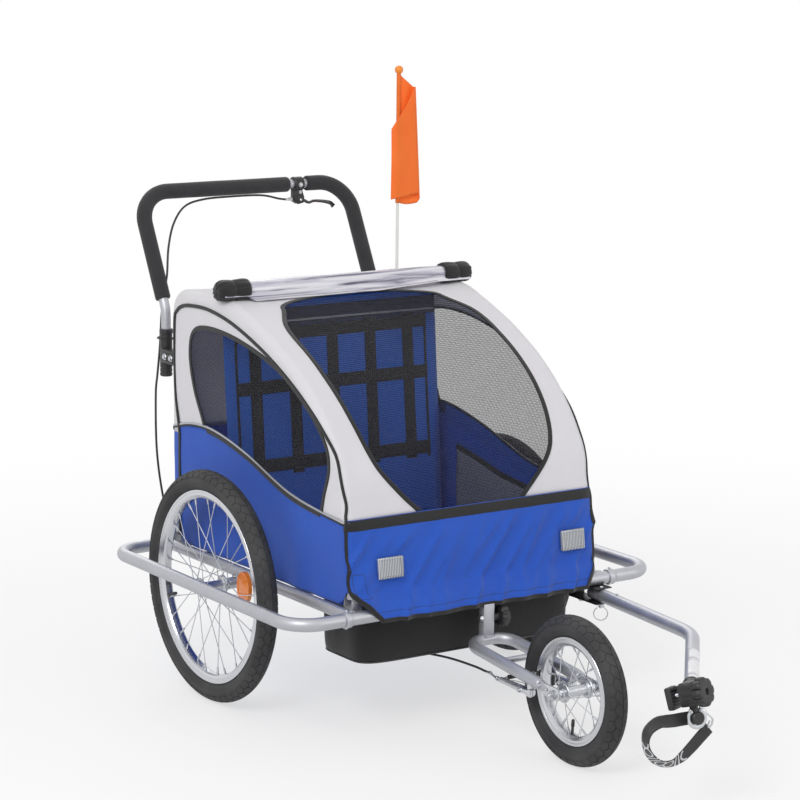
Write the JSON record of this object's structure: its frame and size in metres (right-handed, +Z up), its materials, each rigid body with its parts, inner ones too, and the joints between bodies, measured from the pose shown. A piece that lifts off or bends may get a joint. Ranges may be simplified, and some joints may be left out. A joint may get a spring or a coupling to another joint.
{
  "type": "child bicycle trailer",
  "caption": "Two-seat fabric cabin trailer on spoked wheels with wheel guards, a braked jogging wheel, push handle, flag and bent tow arm with a clamp hitch.",
  "frame": {"origin": "on the ground, below the middle of the outline", "axes": "+Z up, -Y forwards along the tow arm, +X to the side that carries the tow arm"},
  "size_m": [0.939, 1.696, 1.3185],
  "materials": {
    "frame": "silver grey, satin clear coat",
    "steel": "zinc plated",
    "alloy": "polished",
    "tyre": "black, moulded tread",
    "rubber": "black",
    "plastic": "black, glass filled",
    "foam": "black closed cell foam sleeve",
    "white_fabric": "off-white coated polyester",
    "blue_fabric": "blue coated polyester",
    "black_fabric": "black polyester webbing and cloth",
    "mesh": "black insect mesh",
    "clear": "clear vinyl, rolled up",
    "amber": "amber reflector",
    "lens": "clear prismatic reflector",
    "orange": "orange nylon",
    "fibreglass": "white rod"
  },
  "bodies": {
    "chassis": {"base_frame": "frame", "brake_cable": "rubber", "bumper_left": "frame", "bumper_right": "frame", "canopy": "white_fabric", "footwell_bag": "black_fabric", "front_apron": "blue_fabric", "front_axle": "steel", "front_mesh": "mesh", "front_reflector_left": "lens", "front_reflector_right": "lens", "front_yoke": "frame", "grip_left": "foam", "grip_right": "foam", "handle_socket_left": "plastic", "handle_socket_right": "plastic", "hoop_left": "frame", "hoop_right": "frame", "lever_clamp": "plastic", "push_handle": "frame", "rain_cover_roll": "clear", "rain_roll_cap_left": "rubber", "rain_roll_cap_right": "rubber", "rear_axle_left": "plastic", "rear_axle_right": "plastic", "seat_back": "blue_fabric", "seat_pad": "blue_fabric", "seat_top_bar": "frame", "seat_webbing": "black_fabric", "side_mesh_left": "mesh", "side_mesh_right": "mesh", "side_pocket_left": "mesh", "side_pocket_right": "mesh", "tow_bracket": "plastic", "tub": "blue_fabric"},
    "wheel_left": {"rear_tyre_left": "tyre", "rear_rim_left": "alloy", "rear_spokes_left": "steel", "spoke_reflector_left": "amber"},
    "wheel_right": {"rear_tyre_right": "tyre", "rear_rim_right": "alloy", "rear_spokes_right": "steel", "spoke_reflector_right": "amber"},
    "jogging_wheel": {"front_tyre": "tyre", "front_rim": "alloy", "front_spokes": "steel"},
    "lever": {"brake_lever": "plastic"},
    "brake_left": {"brake_arm_left": "alloy"},
    "brake_right": {"brake_arm_right": "alloy"},
    "arm": {"tow_arm": "frame", "hitch_body": "plastic", "hitch_ring": "steel", "safety_strap": "black_fabric", "snap_hook": "steel"},
    "clamp_knob": {"hitch_knob": "plastic"},
    "clamp_jaw": {"hitch_jaw": "plastic"},
    "wheel_knob": {"yoke_knob": "plastic"},
    "arm_pin": {"tow_pin": "steel"},
    "pennant": {"flag_pole": "fibreglass", "flag": "orange"}
  },
  "joints": [
    {"name": "left_wheel_spin", "type": "hinge", "parent": "chassis", "child": "wheel_left", "pos_m": [-0.385, 0.32276, 0.25], "axis": [1, 0, 0], "continuous": true},
    {"name": "right_wheel_spin", "type": "hinge", "parent": "chassis", "child": "wheel_right", "pos_m": [0.385, 0.32276, 0.25], "axis": [1, 0, 0], "continuous": true},
    {"name": "jogging_wheel_spin", "type": "hinge", "parent": "chassis", "child": "jogging_wheel", "pos_m": [0, -0.44594, 0.1527], "axis": [1, 0, 0], "continuous": true},
    {"name": "brake_lever_pull", "type": "hinge", "parent": "chassis", "child": "lever", "pos_m": [0.15, 0.83096, 0.9985], "axis": [0, -1, 0], "range_deg": [0, 9], "stiffness_Nm_per_rad": 0.6, "springref_deg": -14.32},
    {"name": "left_brake_close", "type": "hinge", "parent": "chassis", "child": "brake_left", "pos_m": [-0.052, -0.36724, 0.1385], "axis": [0, 0, -1], "range_deg": [0, 2.4]},
    {"name": "right_brake_close", "type": "hinge", "parent": "chassis", "child": "brake_right", "pos_m": [0.052, -0.36724, 0.1385], "axis": [0, 0, 1], "range_deg": [0, 2.4]},
    {"name": "tow_arm_swing", "type": "hinge", "parent": "chassis", "child": "arm", "pos_m": [0.2992, -0.14754, 0.2406], "axis": [0, 0, 1], "range_deg": [-9, 75]},
    {"name": "tow_pin_pull", "type": "slide", "parent": "chassis", "child": "arm_pin", "axis": [0, 0, -1], "range_m": [0, 0.045]},
    {"name": "hitch_knob_turn", "type": "hinge", "parent": "arm", "child": "clamp_knob", "pos_m": [0.002, -0.82724, 0.2472], "axis": [0.3113, -0.9042, 0.2924], "range_deg": [0, 1440]},
    {"name": "hitch_jaw_close", "type": "slide", "parent": "arm", "child": "clamp_jaw", "axis": [0.3113, -0.9042, 0.2924], "range_m": [0, 0.008]},
    {"name": "yoke_knob_turn", "type": "hinge", "parent": "chassis", "child": "wheel_knob", "pos_m": [0, -0.14624, 0.2335], "axis": [1, 0, 0], "range_deg": [0, 360]},
    {"name": "flag_lift", "type": "slide", "parent": "chassis", "child": "pennant", "axis": [0, 0, 1], "range_m": [0, 0.07]}
  ],
  "couplings": [
    {"joint": "left_brake_close", "follows": "brake_lever_pull", "ratio": 0.2667},
    {"joint": "right_brake_close", "follows": "brake_lever_pull", "ratio": 0.2667},
    {"joint": "hitch_jaw_close", "follows": "hitch_knob_turn", "m_per_rad": 0.000318}
  ]
}
